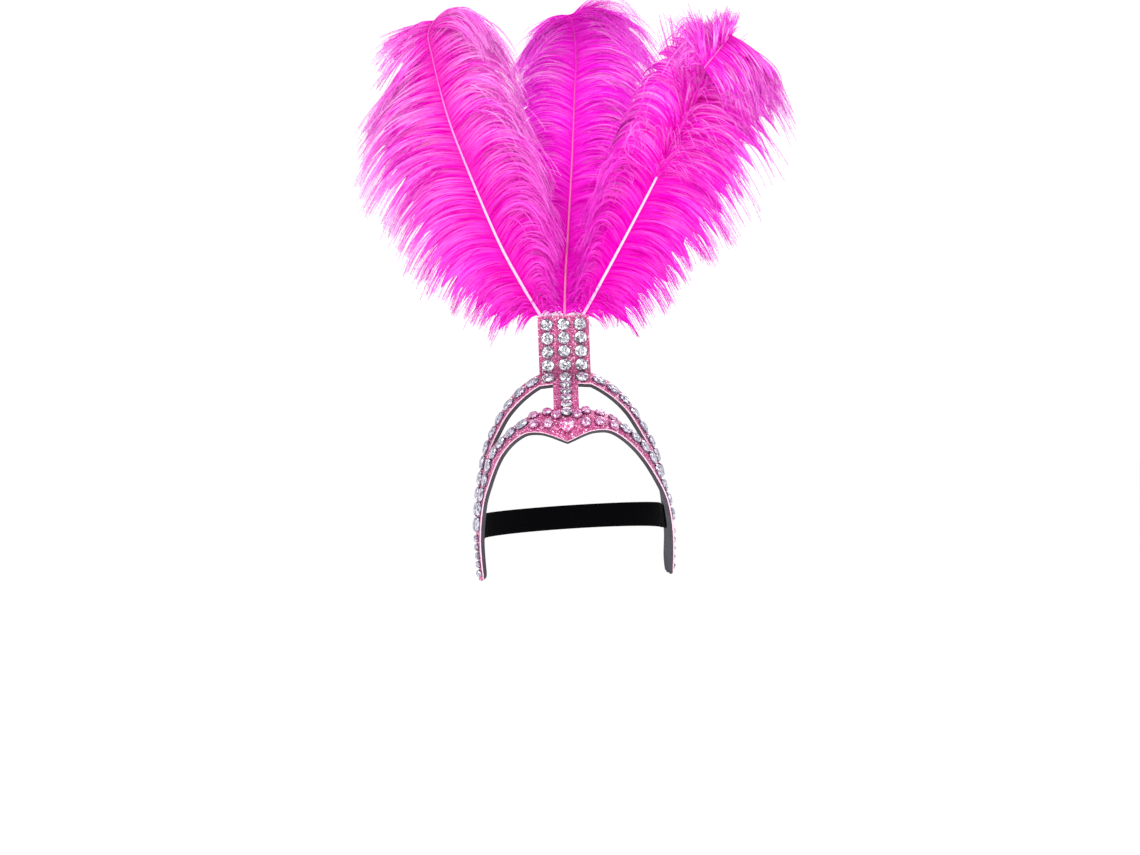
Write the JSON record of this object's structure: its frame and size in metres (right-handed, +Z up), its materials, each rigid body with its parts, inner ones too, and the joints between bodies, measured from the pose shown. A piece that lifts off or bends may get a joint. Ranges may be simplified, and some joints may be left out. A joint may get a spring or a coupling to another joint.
{
  "type": "carnival feather headdress",
  "caption": "Carnival headdress: a pointed brow band, side arms, halo and upright plate of glitter foam set with clear stones, topped by curled ostrich plumes, with an elastic strap.",
  "frame": {"origin": "the middle of the brow band's inner face, where it rests on the forehead", "axes": "+Z up, -Y the way the wearer looks, +X to the right as seen from the front"},
  "size_m": [0.4219, 0.2148, 0.5737],
  "materials": {
    "foam": "matte foam",
    "glitter": "pink glitter sheet",
    "stone": "clear cut acrylic over silver foil",
    "plume": "dyed ostrich feather",
    "quill": "satin feather shaft",
    "glue": "cloudy clear hot glue",
    "elastic": "woven elastic"
  },
  "bodies": {
    "root": {"foam_backing": "foam", "glitter_sheet": "glitter", "plate_stone_1_1": "stone", "plate_stone_1_2": "stone", "plate_stone_1_3": "stone", "plate_stone_2_1": "stone", "plate_stone_2_2": "stone", "plate_stone_2_3": "stone", "plate_stone_3_1": "stone", "plate_stone_3_2": "stone", "plate_stone_3_3": "stone", "plate_stone_4_1": "stone", "plate_stone_4_2": "stone", "plate_stone_4_3": "stone", "halo_stone_1": "stone", "halo_stone_2": "stone", "halo_stone_3": "stone", "stem_stone_1": "stone", "stem_stone_2": "stone", "stem_stone_3": "stone", "stem_stone_4": "stone", "stem_stone_5": "stone", "brow_heart": "stone", "brow_stone_left_1": "stone", "brow_stone_left_2": "stone", "brow_stone_left_3": "stone", "brow_stone_left_4": "stone", "brow_stone_left_5": "stone", "brow_stone_right_1": "stone", "brow_stone_right_2": "stone", "brow_stone_right_3": "stone", "brow_stone_right_4": "stone", "brow_stone_right_5": "stone", "brow_stone_right_6": "stone", "brow_stone_right_7": "stone", "plume_left": "plume", "plume_middle": "plume", "plume_right": "plume", "glue_bead_left": "glue", "glue_bead_right": "glue", "elastic_strap": "elastic"}
  },
  "joints": []
}
